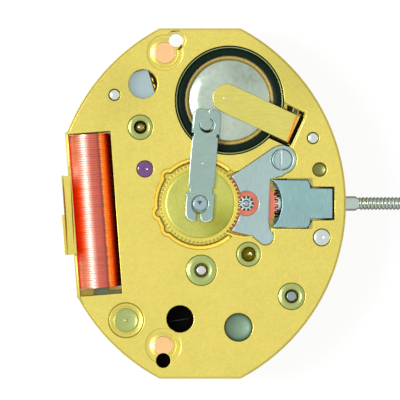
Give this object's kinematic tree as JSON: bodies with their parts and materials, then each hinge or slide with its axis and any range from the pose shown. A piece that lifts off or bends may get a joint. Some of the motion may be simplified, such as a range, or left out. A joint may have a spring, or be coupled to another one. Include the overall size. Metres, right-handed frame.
{
  "type": "quartz watch movement",
  "caption": "Oval quartz watch movement for hour and minute hands, with motor coil, coin cell, gear train and a winding stem drawn out to the hand-setting position.",
  "frame": {"origin": "on the hand axis, in the plane of the dial seat (the underside of the main plate)", "axes": "+X along the winding stem, outwards; +Y to the top of the dial, +Z from the dial to the cell side"},
  "size_m": [0.0274, 0.0238, 0.0044],
  "materials": {
    "gilt_plate": "matte gilt",
    "gilt_bridge": "satin gilt",
    "gilt_spring": "satin gilt spring strip",
    "gilt_tube": "turned brass",
    "wheel_brass": "polished, seen in amber shade",
    "copper_wheel": "polished, copper red",
    "copper_disc": "turned copper",
    "copper_wire": "lacquered copper wire",
    "steel_cover": "fine straight grain",
    "steel_bright": "bright turned",
    "steel_dark": "grey",
    "soft_iron": "matte grey",
    "magnet": "matte dark grey",
    "cell_steel": "satin nickel",
    "gasket": "matte",
    "dark_plastic": "satin dark green",
    "black_plastic": "matte",
    "board": "lacquered board",
    "crystal_steel": "drawn can",
    "jewel": "polished jewel"
  },
  "bodies": {
    "frame": {"main_plate": "gilt_plate", "bridge_plate": "gilt_bridge", "coil_core": "soft_iron", "coil_winding": "copper_wire", "coil_outer_layer": "copper_wire", "stator": "soft_iron", "rotor_upper_jewel": "jewel", "rotor_lower_jewel": "jewel", "motion_cover": "steel_cover", "motion_cover_screws": "steel_bright", "setting_post": "steel_dark", "keyless_cover": "steel_cover", "stem_cover": "steel_cover", "cell_can": "cell_steel", "cell_gasket": "gasket", "cell_cap": "cell_steel", "cell_insulating_ring": "dark_plastic", "positive_contact": "steel_bright", "negative_contact": "gilt_spring", "contact_block": "black_plastic", "centre_strap": "steel_cover", "circuit_board": "board", "driver_chip": "black_plastic", "crystal_can": "crystal_steel", "crystal_base": "black_plastic", "crystal_leads": "steel_bright", "bridge_tubes": "gilt_tube", "tube_pins": "steel_bright", "steady_pins": "steel_bright", "stop_pin": "steel_bright", "dial_grip_discs": "copper_disc", "adjusting_bush": "gilt_tube", "foot_hole_plug": "black_plastic"},
    "rotor": {"rotor_magnet": "magnet", "rotor_pinion": "steel_bright"},
    "intermediate": {"intermediate_wheel": "wheel_brass", "intermediate_pinion": "steel_bright"},
    "third": {"third_wheel": "wheel_brass", "third_pinion": "steel_bright"},
    "centre_drive": {"centre_drive_wheel": "wheel_brass"},
    "centre": {"centre_wheel": "wheel_brass", "centre_arbor": "steel_bright", "cannon_pinion": "steel_bright"},
    "minute": {"minute_wheel": "wheel_brass", "minute_pinion": "steel_bright"},
    "hour": {"hour_wheel": "wheel_brass"},
    "setting": {"setting_wheel": "copper_wheel", "setting_pinion": "steel_bright"},
    "clutch": {"sliding_pinion": "steel_bright"},
    "winding_stem": {"stem": "steel_bright"},
    "yoke": {"yoke": "steel_dark"},
    "lever": {"setting_lever": "steel_dark", "setting_lever_axle": "steel_cover"}
  },
  "joints": [
    {"name": "yoke_slide", "type": "slide", "parent": "frame", "child": "yoke", "axis": [1, 0, 0], "range_m": [0, 0.00022]},
    {"name": "stem_turn", "type": "hinge", "parent": "yoke", "child": "clutch", "pos_m": [0.0056, 0, 0.00145], "axis": [1, 0, 0], "continuous": true},
    {"name": "stem_push", "type": "slide", "parent": "clutch", "child": "winding_stem", "axis": [1, 0, 0], "range_m": [-0.00057, 0]},
    {"name": "setting_lever_turn", "type": "hinge", "parent": "frame", "child": "lever", "pos_m": [0.00558, 0.00299, 0.002], "axis": [0, 0, 1], "range_deg": [-6.94, 0]},
    {"name": "setting_wheel_turn", "type": "hinge", "parent": "frame", "child": "setting", "pos_m": [0.00315, 0, 0.0022], "axis": [0, 0, 1], "continuous": true},
    {"name": "centre_turn", "type": "hinge", "parent": "frame", "child": "centre", "pos_m": [0, 0, 0.0015], "axis": [0, 0, 1], "continuous": true},
    {"name": "minute_wheel_turn", "type": "hinge", "parent": "frame", "child": "minute", "pos_m": [0, -0.00288, 0.0003], "axis": [0, 0, 1], "continuous": true},
    {"name": "hour_wheel_turn", "type": "hinge", "parent": "frame", "child": "hour", "pos_m": [0, 0, 0], "axis": [0, 0, 1], "continuous": true},
    {"name": "rotor_spin", "type": "hinge", "parent": "frame", "child": "rotor", "pos_m": [-0.00374, 0.00235, 0.001], "axis": [0, 0, 1], "continuous": true},
    {"name": "intermediate_spin", "type": "hinge", "parent": "frame", "child": "intermediate", "pos_m": [-0.00332, 0.00088, 0.0015], "axis": [0, 0, 1], "continuous": true},
    {"name": "third_spin", "type": "hinge", "parent": "frame", "child": "third", "pos_m": [-0.00169, 0.00062, 0.0015], "axis": [0, 0, 1], "continuous": true},
    {"name": "centre_drive_spin", "type": "hinge", "parent": "frame", "child": "centre_drive", "pos_m": [0, 0, 0.00115], "axis": [0, 0, 1], "continuous": true}
  ],
  "couplings": [
    {"joint": "yoke_slide", "follows": "stem_push", "ratio": -0.38596},
    {"joint": "setting_lever_turn", "follows": "stem_push", "rad_per_m": 212.49},
    {"joint": "setting_wheel_turn", "follows": "stem_turn", "ratio": -0.375},
    {"joint": "centre_turn", "follows": "stem_turn", "ratio": 0.0625},
    {"joint": "minute_wheel_turn", "follows": "stem_turn", "ratio": -0.020833},
    {"joint": "hour_wheel_turn", "follows": "stem_turn", "ratio": 0.0052083},
    {"joint": "intermediate_spin", "follows": "rotor_spin", "ratio": -0.13333},
    {"joint": "third_spin", "follows": "rotor_spin", "ratio": 0.033333},
    {"joint": "centre_drive_spin", "follows": "rotor_spin", "ratio": -0.011111}
  ]
}
